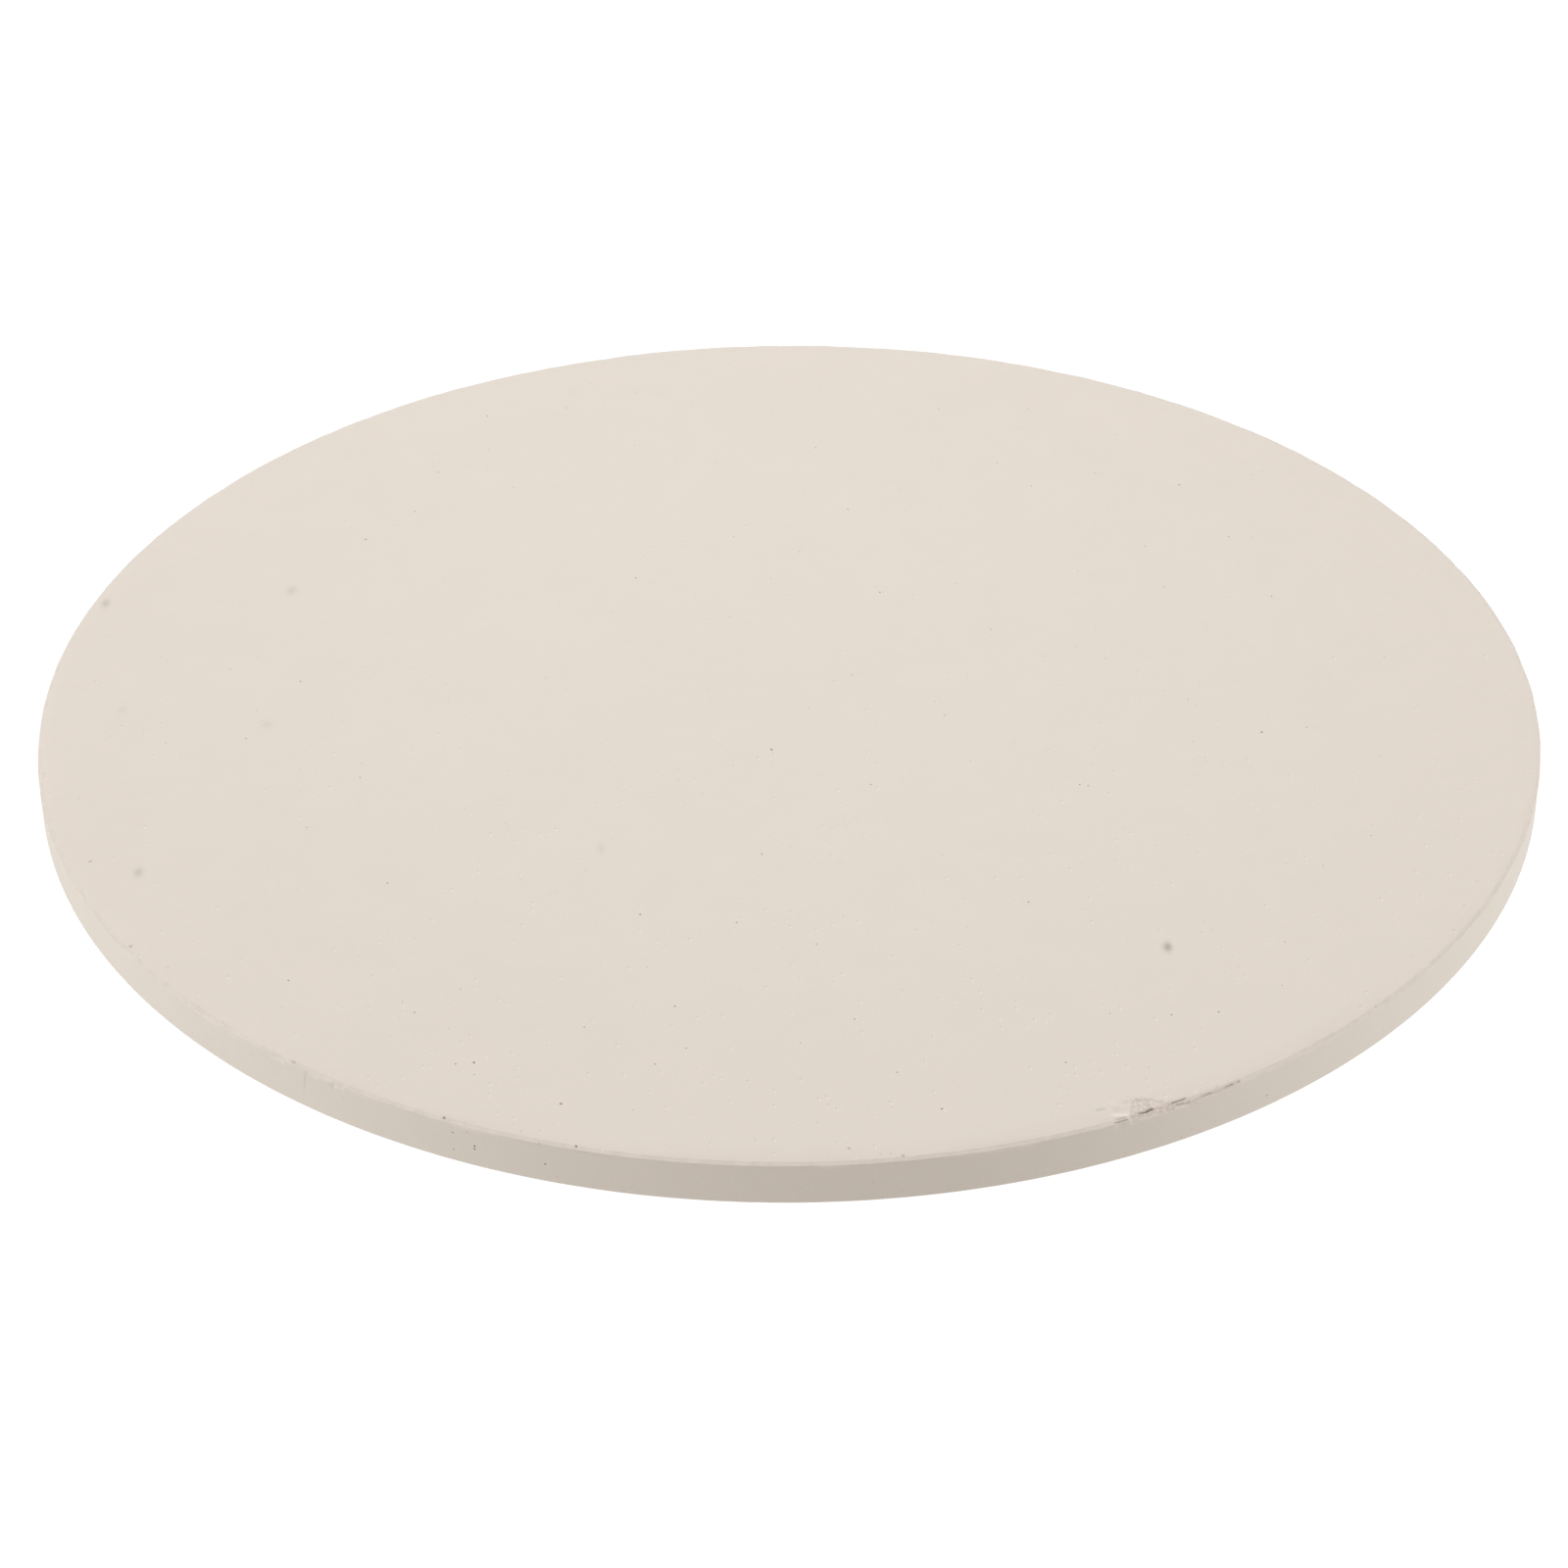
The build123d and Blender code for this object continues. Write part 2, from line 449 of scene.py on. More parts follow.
class Rim:
    """The rim as a grid: a row for each place of the section and a column for each angle."""

    # The width of the cells where the rim is sound and at a mark, how far past a mark they stay at
    # their finest, and how far they take to widen again, in millimetres
    COLUMN_WIDTH, FINE_COLUMN_WIDTH = 1.5, 0.16
    MARGIN, WIDENING = 0.3, 0.8
    CRACK_REACH = 0.9
    # How many places round the stone the density of the columns is worked out at
    DENSITY_PLACES = 14401

    def __init__(self, shape):
        self.section = Section(shape)
        self.angles = self.spread_columns()
        self.degrees = np.degrees(self.angles)[None, :]
        self.round = (self.angles * STONE_RADIUS)[None, :]
        self.down = self.section.down[:, None]

    @classmethod
    def spread_columns(cls):
        """Columns stand at even steps of the running total of a density, which is 1 where the rim is
        sound and rises at each mark and at the crack by the easing curve."""
        fine = np.linspace(-math.pi, math.pi, cls.DENSITY_PLACES)
        run = fine * STONE_RADIUS / MM
        marks = [(mark.angle, mark.half_length) for mark in RIM_MARKS] + [(CRACK_ANGLE, cls.CRACK_REACH)]
        degrees, reach = np.array(marks).T
        middle = np.radians(degrees) * STONE_RADIUS / MM
        away = np.abs(run[:, None] - middle) - (reach + cls.MARGIN)
        near = ease(1 - away / cls.WIDENING).max(axis=1)
        density = 1 + (cls.COLUMN_WIDTH / cls.FINE_COLUMN_WIDTH - 1) * near
        total = np.concatenate([[0.0], np.cumsum((density[1:] + density[:-1]) / 2 * np.diff(fine))])
        count = round(total[-1] * STONE_RADIUS / (cls.COLUMN_WIDTH * MM))
        return np.interp(np.linspace(0.0, total[-1], count, endpoint=False), total, fine)

    def noise(self, size, seed, long_way=1.0):
        """Soft noise with humps of about the given size, longer round the stone by long_way. A whole
        number of humps goes round, so the noise closes on itself."""
        humps = round(2 * math.pi * STONE_RADIUS / (size * long_way))
        across = self.round * humps / (2 * math.pi * STONE_RADIUS)
        return value_noise(across, self.down / size, seed, humps)

    def layers(self, layers):
        """The sum of layers of noise."""
        return sum(strength * self.noise(size * MM, seed) for size, seed, strength in layers)

    def hump(self, middle, reach):
        """A bell curve down the section."""
        return bell((self.down / MM - middle) / reach)

    def run_from(self, degrees):
        """Distance round the stone from an angle, in millimetres."""
        return np.radians(self.degrees - degrees) * STONE_RADIUS / MM

    def inside(self, degrees, edges):
        """How far each place lies inside the nearest of the edges, which are measured from an angle."""
        run, down = self.run_from(degrees), self.down / MM
        return np.min([across * run + along * down + inset for across, along, inset in edges], axis=0)


def even_wear(rim, wear):
    """Depth lost all round: the shoulder is rounded by a bell curve, the arris wanders by noise
    under a wider one, and the wall is faintly uneven."""
    rounded = wear.shoulder_loss * rim.hump(*ROUNDED_SHOULDER)
    wander = np.maximum(MEAN_WANDER + rim.layers(ARRIS_WANDER), 0.0)
    worn = wear.unevenness * rim.hump(*WORN_ARRIS) * wander
    uneven = wear.wall_unevenness * ease(rim.down / MM - WALL_START) * (1 + rim.layers(WALL_RIPPLE))
    return rounded + worn + uneven


def band_painted_shade(rim, wear):
    """Painted shade on the front of the rolled band, where its slope turns towards the dimmer front: a bell
    curve down the section, fading to both ends."""
    stretch = fading((rim.degrees - BAND_SHADE_MIDDLE) / BAND_SHADE_REACH)
    return wear.band_shading * rim.hump(*BAND_SHADE) * stretch


def crumbled_patch(rim, wear):
    """Depth lost and bareness where the pressed skin crumbled. The bare part and the bruise have
    straight edges made ragged by noise, inside them the skin is lost by soft noise, and the corner
    is lost by a bell curve over the top arris."""
    ragged = rim.layers(RAGGED_EDGE)
    ends = rim.inside(CRUMBLED_ANGLE, CRUMBLED_ENDS)
    sides = rim.inside(CRUMBLED_ANGLE, CRUMBLED_SIDES)
    patch = ease((np.minimum(ends, sides) + ragged) / CRUMBLED_FADE)
    bruise = ease((rim.inside(CRUMBLED_ANGLE, BRUISE_EDGES) + ragged) / BRUISE_FADE)
    crumbs = MEAN_CRUMB + rim.layers(CRUMBS)
    lost = wear.crumble_depth * np.maximum(patch, BRUISE_DEPTH_SHARE * bruise) * crumbs
    corner = rim.hump(*BROKEN_CORNER) * ease((ends + 0.5 * ragged) / CORNER_FADE)
    bare = np.maximum(patch * (LEAST_BARE + BARE_WITH_CRUMB * crumbs), BRUISE_BARE_SHARE * bruise)
    return lost + wear.corner_loss * corner, bare


def marking(rim, mark):
    """How strong a mark is at each place of the rim, from 0 to 1: a bell curve over its width,
    fading to its ends, on a line that slants and ripples."""
    run = rim.run_from(mark.angle)
    away = rim.down / MM - mark.down - mark.slant * run
    return bell(away / mark.half_width - rim.layers(MARK_RIPPLE)) * fading(run / mark.half_length)


def wall_crack(rim):
    """How strong the hairline crack is: a bell curve over its width, wandering sideways by noise
    on its way down the wall, and fading to both ends."""
    down = rim.down / MM
    wander = CRACK_WANDER * rim.noise(CRACK_HUMP * MM, CRACK_SEED, CRACK_LONG_WAY)
    run = rim.run_from(CRACK_ANGLE) + CRACK_SLANT * (down - CRACK_TOP) - wander
    start = ease((down - CRACK_START) / (CRACK_WHOLE - CRACK_START))
    end = ease((CRACK_END - down) / (CRACK_END - CRACK_FADE))
    return bell(run / CRACK_HALF_WIDTH) * start * end


class Patch:
    """Part of the slab's skin: points in rows and columns with their finish, and the four-sided
    cells between them, whose corners go round anticlockwise seen from outside."""

    def __init__(self, points, finish, closed=False):
        self.points = points.reshape(-1, 3)
        self.finish = finish.reshape(-1, len(FINISH))
        self.number = np.arange(len(self.points)).reshape(points.shape[:2])
        ring = np.concatenate([self.number, self.number[:, :1]], axis=1) if closed else self.number
        corners = [ring[:-1, :-1], ring[1:, :-1], ring[1:, 1:], ring[:-1, 1:]]
        self.cells = np.stack(corners, axis=2).reshape(-1, 4)
        corner = self.points[self.cells].transpose(1, 0, 2)
        self.middle = corner.mean(axis=0)
        self.side_u = (corner[1] + corner[2] - corner[0] - corner[3]) / 2
        self.side_v = (corner[2] + corner[3] - corner[0] - corner[1]) / 2
        cross = np.cross(self.side_u, self.side_v)
        self.normal = cross / np.linalg.norm(cross, axis=1)[:, None]
        self.corner = corner

    def room(self):
        """The narrowest way across each cell: the parallelogram on the two sides of its smallest
        corner, over the cell's longest side."""
        side = np.roll(self.corner, -1, axis=0) - self.corner
        length = np.linalg.norm(side, axis=2).max(axis=0)
        return np.linalg.norm(np.cross(side, np.roll(side, 1, axis=0)), axis=2).min(axis=0) / length

    def edge(self):
        """The numbers of the points along the patch's outline."""
        return np.concatenate([
            self.number[0], self.number[-1], self.number[1:-1, 0], self.number[1:-1, -1]])


def round_patch(cells, radius, height, up):
    """A flat disc from a square grid: a place (a, b) of the square goes out to the larger of |a| and
    |b|, at an angle that grows evenly along each side of its square ring."""
    side = np.linspace(-1.0, 1.0, cells + 1)
    a, b = np.meshgrid(side, side, indexing="ij" if up else "xy")
    flat = np.abs(a) >= np.abs(b)
    major = np.where(flat, a, b)
    minor = np.where(flat, b, a)
    turn = math.pi / 4 * np.divide(minor, major, out=np.zeros_like(minor), where=major != 0)
    angle = np.where(flat, turn, math.pi / 2 - turn)
    reach = radius * major
    points = np.stack([reach * np.cos(angle), reach * np.sin(angle), np.full_like(a, height)], axis=2)
    return Patch(points, np.zeros((*a.shape, len(FINISH))))


def rim_patch(rim, wear):
    """The rim's skin: each place of the section, moved into the clay by the depth lost there, and
    carried round the stone."""
    section = rim.section
    lost, bare = crumbled_patch(rim, wear)
    crack = wall_crack(rim)
    depth = even_wear(rim, wear) + lost + CRACK_DEPTH * MM * crack
    # The painted shade of the crack and the band, and the dirt and painted shade in the marks' hollows,
    # gathered into one darkening.
    dirt_and_shade, pale_and_highlight = np.maximum(CRACK_SHADE * crack, band_painted_shade(rim, wear)), np.zeros_like(crack)
    for mark in RIM_MARKS:
        strength = marking(rim, mark)
        depth = depth + mark.depth * MM * strength
        dirt_and_shade = np.maximum(dirt_and_shade, mark.dirt_and_shade * strength)
        pale_and_highlight = np.maximum(pale_and_highlight, mark.pale_and_highlight * strength)
    radius = section.radius[:, None] - depth * section.normal_r[:, None]
    height = np.clip(section.height[:, None] - depth * section.normal_z[:, None], 0.0, STONE_THICKNESS)
    points = np.stack([radius * np.cos(rim.angles), radius * np.sin(rim.angles), height], axis=2)
    return Patch(points, np.stack([np.clip(bare, 0.0, 1.0), dirt_and_shade, pale_and_highlight], axis=2), closed=True)


def stitch(points, inner, outer, up):
    """Triangles between two rings. The places of both rings are put in order of their angle, and
    each place adds the triangle of itself and of the last place before it on either ring."""
    angle = np.arctan2(points[:, 1], points[:, 0])
    inner = inner[np.argsort(angle[inner])]
    outer = outer[np.argsort(angle[outer])]
    order = np.argsort(np.concatenate([angle[inner], angle[outer]]), kind="stable")
    is_inner = order < len(inner)
    inner_before = np.cumsum(is_inner) - is_inner
    outer_before = np.cumsum(~is_inner) - ~is_inner
    place = np.concatenate([inner, outer])[order]
    triangles = np.stack([inner[inner_before - 1], outer[outer_before - 1], place], axis=1)
    return triangles if up else triangles[:, ::-1]


def pick_pinholes(patch, count, usual_radius, wanted, seed):
    """Cells that get a pinhole, its place in the cell as shares of the cell's sides, and its radius.
    A wanted pinhole takes the cell nearest to it. The others fall in unworn cells by chance, with
    radii that follow an exponential curve, so that wide ones are rare."""
    chance = np.random.default_rng(seed)
    room = patch.room()
    worn = patch.finish.sum(axis=1)[patch.cells].max(axis=1)
    sound = (worn < SOUND_LIMIT) & (room > PINHOLE_ROOM * usual_radius)
    wanted = np.array(wanted).reshape(-1, 3)
    nearest = np.linalg.norm(patch.middle[None] - wanted[:, None], axis=2).argmin(axis=1)
    sound[nearest] = False
    fallen = chance.choice(np.flatnonzero(sound), size=count, replace=False)
    picked = np.concatenate([nearest, fallen])
    radius = usual_radius * (LEAST_PINHOLE + chance.exponential(PINHOLE_SPREAD, len(picked)))
    radius[:len(nearest)] = WIDE_PINHOLE * usual_radius
    radius = np.minimum(radius, MOST_OF_ROOM * room[picked])

    free = np.maximum(0.5 - CLEARANCE * radius / room[picked], 0.0)[:, None]
    shift = chance.uniform(-1.0, 1.0, (len(picked), 2)) * free
    sides = np.stack([patch.side_u[nearest], patch.side_v[nearest]], axis=2)
    asked = np.linalg.pinv(sides) @ (wanted - patch.middle[nearest])[:, :, None]
    shift[:len(nearest)] = np.clip(asked[:, :, 0], -free[:len(nearest)], free[:len(nearest)])
    return picked, shift, radius


def dig_pinholes(patch, picked, shift, radius, seed):
    """Points, finish and triangles of pinholes, each of which takes the place of its cell. Its
    points stand in three rings, a level one, the uneven lip and the smaller foot, in the directions
    of the cell's corners and halfway between, and a last one is the bottom. Two triangles join each
    corner of the cell to the level ring, and one joins each side."""
    chance = np.random.default_rng(seed)
    cell = patch.cells[picked]
    normal = patch.normal[picked]
    side_u, side_v = patch.side_u[picked], patch.side_v[picked]
    centre = patch.middle[picked] + shift[:, :1] * side_u + shift[:, 1:] * side_v
    first = side_u / np.linalg.norm(side_u, axis=1)[:, None]
    second = np.cross(normal, first)
    out = patch.points[cell] - centre[:, None]
    toward = np.arctan2((out * second[:, None]).sum(axis=2), (out * first[:, None]).sum(axis=2))
    toward = np.unwrap(toward, axis=1)
    following = np.concatenate([toward[:, 1:], toward[:, :1] + 2 * math.pi], axis=1)
    angle = np.stack([toward, (toward + following) / 2], axis=2).reshape(-1, RING, 1)
    spoke = first[:, None] * np.cos(angle) + second[:, None] * np.sin(angle)
    reach = spoke * radius[:, None, None]
    uneven = reach * chance.uniform(*LIP_RANGE, angle.shape)
    depth = normal[:, None] * radius[:, None, None]
    rings = [reach * LEVEL_RING, uneven, uneven * FOOT_RING - depth, -depth * BOTTOM_DEPTH]
    points = (centre[:, None] + np.concatenate(rings, axis=1)).reshape(-1, 3)
    finish = np.zeros((len(points), len(FINISH)))
    # Painted shade darkens the hollow of each pinhole, most at its foot and bottom.
    finish[:, DIRT_AND_SHADE] = np.tile(np.repeat(PINHOLE_SHADE, (RING, RING, RING, 1)), len(picked))

    start = len(patch.points) + (3 * RING + 1) * np.arange(len(picked))[:, None]
    level, lip, foot = (start + ring * RING + np.arange(RING) for ring in range(3))
    level_next, lip_next, foot_next = (np.roll(ring, -1, axis=1) for ring in (level, lip, foot))
    bottom = np.broadcast_to(start + 3 * RING, foot.shape)
    at_corner, after_corner = level[:, 0::2], level[:, 1::2]
    triangles = (
        (cell, at_corner, np.roll(after_corner, 1, axis=1)),
        (cell, after_corner, at_corner),
        (cell, np.roll(cell, -1, axis=1), after_corner),
        (level, level_next, lip),
        (level_next, lip_next, lip),
        (lip, lip_next, foot),
        (lip_next, foot_next, foot),
        (foot, foot_next, bottom),
    )
    triangles = np.concatenate([np.stack(corners, axis=2).reshape(-1, 3) for corners in triangles])
    return points, finish, triangles


def make_mesh(name, points, faces, finish):
    """A smooth mesh from the places of its points, faces as lists of point numbers, and the finish
    that each point carries."""
    mesh = bpy.data.meshes.new(name)
    mesh.from_pydata(points, [], faces, shade_flat=False)
    for value_name, values in zip(FINISH, finish.T):
        attribute = mesh.attributes.new(value_name, "FLOAT", "POINT")
        attribute.data.foreach_set("value", values.astype(np.float32))
    if mesh.validate():
        raise RuntimeError(f"the faces of {name} don't make a sound mesh")
    return mesh


def face_places():
    """The wide pinholes of the baking face as points of the skin."""
    return [(x * MM, y * MM, STONE_THICKNESS) for x, y in WIDE_FACE_PINHOLES]


def wall_places():
    """The wide pinholes of the wall as points of the skin."""
    turns = [(math.radians(degrees), height * MM) for degrees, height in WIDE_WALL_PINHOLES]
    return [(STONE_RADIUS * math.cos(turn), STONE_RADIUS * math.sin(turn), height) for turn, height in turns]


def slab_mesh(shape, wear):
    """The slab's whole skin: the baking face, the worn rim and the resting face, each with its
    pinholes, and the strips that stitch the faces to the rim."""
    rim = Rim(shape)
    face = round_patch(FACE_CELLS, rim.section.radius[0] - STITCHED_STRIP, STONE_THICKNESS, up=True)
    side = rim_patch(rim, wear)
    base = round_patch(BASE_CELLS, rim.section.radius[-1] - STITCHED_STRIP, 0.0, up=False)
    plans = (
        (face, wear.face_pinholes, face_places()),
        (side, wear.rim_pinholes, wall_places()),
        (base, wear.base_pinholes, []),
    )
    points, finish, faces, starts = [], [], [], []
    for seed, (patch, count, wanted) in enumerate(plans, start=PINHOLE_SEED):
        picked, shift, radius = pick_pinholes(patch, count, wear.pinhole_radius, wanted, seed)
        hole_points, hole_finish, hole_triangles = dig_pinholes(patch, picked, shift, radius, seed)
        start = sum(len(block) for block in points)
        starts.append(start)
        points += [patch.points, hole_points]
        finish += [patch.finish, hole_finish]
        faces += [np.delete(patch.cells, picked, axis=0) + start, hole_triangles + start]
    points = np.concatenate(points)
    faces.append(stitch(points, face.edge() + starts[0], side.number[0] + starts[1], up=True))
    faces.append(stitch(points, base.edge() + starts[2], side.number[-1] + starts[1], up=False))
    faces = [corners for block in faces for corners in block.tolist()]
    return make_mesh("fired_slab", points, faces, np.concatenate(finish))


class Nodes:
    """A short way to add the nodes of a tree and to join them."""

    def __init__(self, tree):
        self.tree = tree

    def add(self, kind, inputs=(), **settings):
        """A node of that kind. An input gets a value or another node's output."""
        node = self.tree.nodes.new(kind)
        for name, value in settings.items():
            setattr(node, name, value)
        for name, value in dict(inputs).items():
            if isinstance(value, bpy.types.NodeSocket):
                self.tree.links.new(value, node.inputs[name])
            else:
                node.inputs[name].default_value = value
        return node

    def group(self, tree, **inputs):
        return self.add("ShaderNodeGroup", inputs, node_tree=tree).outputs

    def math(self, operation, first, second=0.0):
        return self.add("ShaderNodeMath", {0: first, 1: second}, operation=operation).outputs[0]

    def times(self, *factors):
        product = factors[0]
        for factor in factors[1:]:
            product = self.math("MULTIPLY", product, factor)
        return product

    def vector(self, operation, first, second=(0.0, 0.0, 0.0), output="Vector"):
        node = self.add("ShaderNodeVectorMath", {0: first, 1: second}, operation=operation)
        return node.outputs[output]

    def spread(self, value, ends, results=(0.0, 1.0)):
        """The smooth step that goes from one result to the other as value goes between the ends."""
        limits = {"From Min": ends[0], "From Max": ends[1], "To Min": results[0], "To Max": results[1]}
        inputs = {"Value": value, **limits}
        return self.add("ShaderNodeMapRange", inputs, interpolation_type="SMOOTHSTEP").outputs[0]

    def blend(self, share, first, second):
        """The first colour where share is 0 and the second where it is 1."""
        first, second = (c if isinstance(c, bpy.types.NodeSocket) else (*c, 1.0) for c in (first, second))
        return self.add("ShaderNodeMix", {0: share, 6: first, 7: second}, data_type="RGBA").outputs[2]

    def darken(self, colour, share):
        inputs = {0: colour, "Scale": share}
        return self.add("ShaderNodeVectorMath", inputs, operation="SCALE").outputs[0]

    def noise(self, place, size, detail, roughness):
        inputs = {"Vector": place, "Scale": 1 / (size * MM), "Detail": detail, "Roughness": roughness}
        return self.add("ShaderNodeTexNoise", inputs).outputs[0]


def new_group(name, vectors, values, outputs):
    """An empty node group with those inputs and outputs, and its nodes, inputs and output node."""
    tree = bpy.data.node_groups.new(name, "ShaderNodeTree")
    for socket in vectors:
        tree.interface.new_socket(socket, in_out="INPUT", socket_type="NodeSocketVector")
    for socket in values:
        tree.interface.new_socket(socket, in_out="INPUT", socket_type="NodeSocketFloat")
    for socket in outputs:
        tree.interface.new_socket(socket, in_out="OUTPUT", socket_type="NodeSocketFloat")
    nodes = Nodes(tree)
    return tree, nodes, nodes.add("NodeGroupInput").outputs, nodes.add("NodeGroupOutput").inputs


def fine_grain():
    """Fine grain of a matt surface, made once: a shade that wavers about 1, and a height."""
    if "Fine Grain" in bpy.data.node_groups:
        return bpy.data.node_groups["Fine Grain"]
    tree, nodes, given, result = new_group(
        "Fine Grain", ["Place"], ["Size", "Contrast"], ["Shade", "Height"])
    scale = nodes.math("DIVIDE", 1.0, given["Size"])
    inputs = {"Vector": given["Place"], "Scale": scale, "Detail": 3.0, "Roughness": 0.6}
    grain = nodes.add("ShaderNodeTexNoise", inputs).outputs[0]
    wavering = nodes.times(nodes.math("SUBTRACT", grain, 0.5), given["Contrast"])
    tree.links.new(nodes.math("ADD", wavering, 1.0), result["Shade"])
    tree.links.new(grain, result["Height"])
    return tree


def speck_group():
    """Specks: round marks of the given radius about chance points, on the given share of the points.
    The mask is 1 in the middle of a strong speck."""
    tree, nodes, given, result = new_group(
        "Specks", ["Place"], ["Spacing", "Radius", "Share"], ["Mask"])
    scale = nodes.math("DIVIDE", 1.0, given["Spacing"])
    cells = nodes.add("ShaderNodeTexVoronoi", {"Vector": given["Place"], "Scale": scale})
    edge = nodes.math("DIVIDE", given["Radius"], given["Spacing"])
    core = nodes.times(edge, 0.4)
    near = nodes.spread(cells.outputs["Distance"], (core, edge), (1.0, 0.0))
    chance = nodes.add("ShaderNodeSeparateColor", {"Color": cells.outputs["Color"]}).outputs["Red"]
    strength = nodes.spread(chance, (0.0, given["Share"]), (1.0, 0.0))
    tree.links.new(nodes.times(near, strength), result["Mask"])
    return tree


def iron_spot_group():
    """One iron spot: stained in the middle, and fading out by the bell curve e^(-t^2), where t is the
    way from its centre as a share of its size, with an outline that wavers a little."""
    tree, nodes, given, result = new_group(
        "Iron Spot", ["Place", "Centre", "Size"], ["Stain"], ["Mask"])
    away = nodes.vector("SUBTRACT", given["Place"], given["Centre"])
    share = nodes.vector("LENGTH", nodes.vector("DIVIDE", away, given["Size"]), output="Value")
    outline = nodes.spread(nodes.noise(given["Place"], *SPOT_OUTLINE), (0.2, 0.8), (0.88, 1.12))
    share = nodes.times(share, outline)
    fade = nodes.math("EXPONENT", nodes.times(share, share, -1.0))
    tree.links.new(nodes.times(fade, given["Stain"]), result["Mask"])
    return tree


def new_material(name):
    """A material with an empty tree, its nodes, and the place on the piece that is shaded."""
    material = bpy.data.materials.new(name)
    material.use_nodes = True
    material.node_tree.nodes.clear()
    nodes = Nodes(material.node_tree)
    return material, nodes, nodes.add("ShaderNodeTexCoord").outputs["Object"]


def rim_masks(nodes, place, band_drop):
    """From 0 to 1: how near to the rim a place is, and whether it is on the wall or the top arris.
    The arris runs out by as much as it runs down, so reach less height tells how far away it is."""
    reach = nodes.vector("LENGTH", nodes.vector("MULTIPLY", place, (1.0, 1.0, 0.0)), output="Value")
    height = nodes.add("ShaderNodeSeparateXYZ", {0: place}).outputs["Z"]
    arris_middle = STONE_RADIUS - STONE_THICKNESS + band_drop
    off_arris = nodes.math("SUBTRACT", nodes.math("SUBTRACT", reach, height), arris_middle)
    near_rim = nodes.spread(reach, (RIM_SHADE_START, STONE_RADIUS))
    on_wall = nodes.spread(reach, WALL_ENDS)
    on_arris = nodes.spread(nodes.math("ABSOLUTE", off_arris), ARRIS_ENDS, (1.0, 0.0))
    return near_rim, on_wall, on_arris


def speckled(nodes, place, colour, on_wall, finish):
    """The colour with dark specks, painted shade of pits too small to model, each with a painted highlight
    on its pale side. They lie in clusters and are denser towards the front."""
    specks = speck_group()
    front = nodes.add("ShaderNodeSeparateXYZ", {0: place}).outputs["Y"]
    clusters = nodes.spread(nodes.noise(place, *SPECK_CLUSTERS), CORE_SPAN, CLUSTERING)
    share = nodes.times(nodes.spread(front, FRONT_TO_BACK, SPECK_SHARES), clusters)
    # Painted highlight: a pale mark beside each speck, stronger on the face than on the wall.
    beside = nodes.vector("ADD", place, HIGHLIGHT_SIDE)
    pale_and_highlight = nodes.group(specks, Place=beside, Share=share, **HIGHLIGHT_PART)["Mask"]
    pale_and_highlight = nodes.times(pale_and_highlight, nodes.spread(on_wall, (0.0, 1.0), HIGHLIGHT_STRENGTHS))
    colour = nodes.blend(pale_and_highlight, colour, finish.pale_clay_and_highlight)
    # Painted shade: each dark speck stands for the shade in a pit too small to model.
    pit_shade = nodes.group(specks, Place=place, Share=share, **PIT_SHADE_PART)["Mask"]
    return nodes.blend(nodes.times(pit_shade, PIT_SHADE_STRENGTH), colour, finish.iron_and_shade)


def iron_stained(nodes, place, colour, finish):
    """The colour with the iron spots in it."""
    spot_group = iron_spot_group()
    for x, y, width, length, stain in IRON_SPOTS:
        centre = (x * MM, y * MM, STONE_THICKNESS)
        size = (width * MM, length * MM, width * MM)
        stained = nodes.group(spot_group, Place=place, Centre=centre, Size=size, Stain=stain)["Mask"]
        colour = nodes.blend(stained, colour, finish.iron_and_shade)
    return colour


def worn(nodes, place, colour, marks, on_arris, finish):
    """The colour with bare clay where the skin is torn away, darker stretches of the top arris, and the pale
    grains, painted highlights, dirt and painted shade of the marks. Also how bare each place is."""
    bare, dirt_and_shade, pale_and_highlight = marks
    broken = nodes.spread(nodes.noise(place, *BROKEN_GRAINS), CORE_SPAN, BROKEN_SHADES)
    bare = nodes.spread(nodes.math("ADD", bare, nodes.noise(place, *TORN_EDGE)), TORN_ENDS)
    colour = nodes.blend(bare, colour, nodes.darken(finish.broken_clay, broken))
    stretches = nodes.spread(nodes.noise(place, *DARKENED_ARRIS_STRETCHES), DARKENED_ENDS, (1.0, 0.0))
    colour = nodes.blend(nodes.times(on_arris, stretches, finish.arris_darkening), colour, finish.iron_and_shade)
    colour = nodes.blend(pale_and_highlight, colour, finish.pale_clay_and_highlight)
    return nodes.blend(dirt_and_shade, colour, finish.iron_and_shade), bare


def clay_height(nodes, place, fine, bare, on_arris, finish):
    """Height of the surface as a share of the grain height: the fine and the coarse grain, which are
    rougher on bare clay, and the fine chips of the top arris."""
    coarse = nodes.times(nodes.noise(place, *COARSE_GRAIN), COARSE_SHARE)
    rougher = nodes.math("ADD", 1.0, nodes.times(bare, BARE_ROUGHENING))
    skin = nodes.times(nodes.math("ADD", fine, coarse), rougher)
    chips = nodes.times(on_arris, nodes.noise(place, *ARRIS_CHIPS), finish.arris_chips / finish.grain_height)
    return nodes.math("ADD", skin, chips)


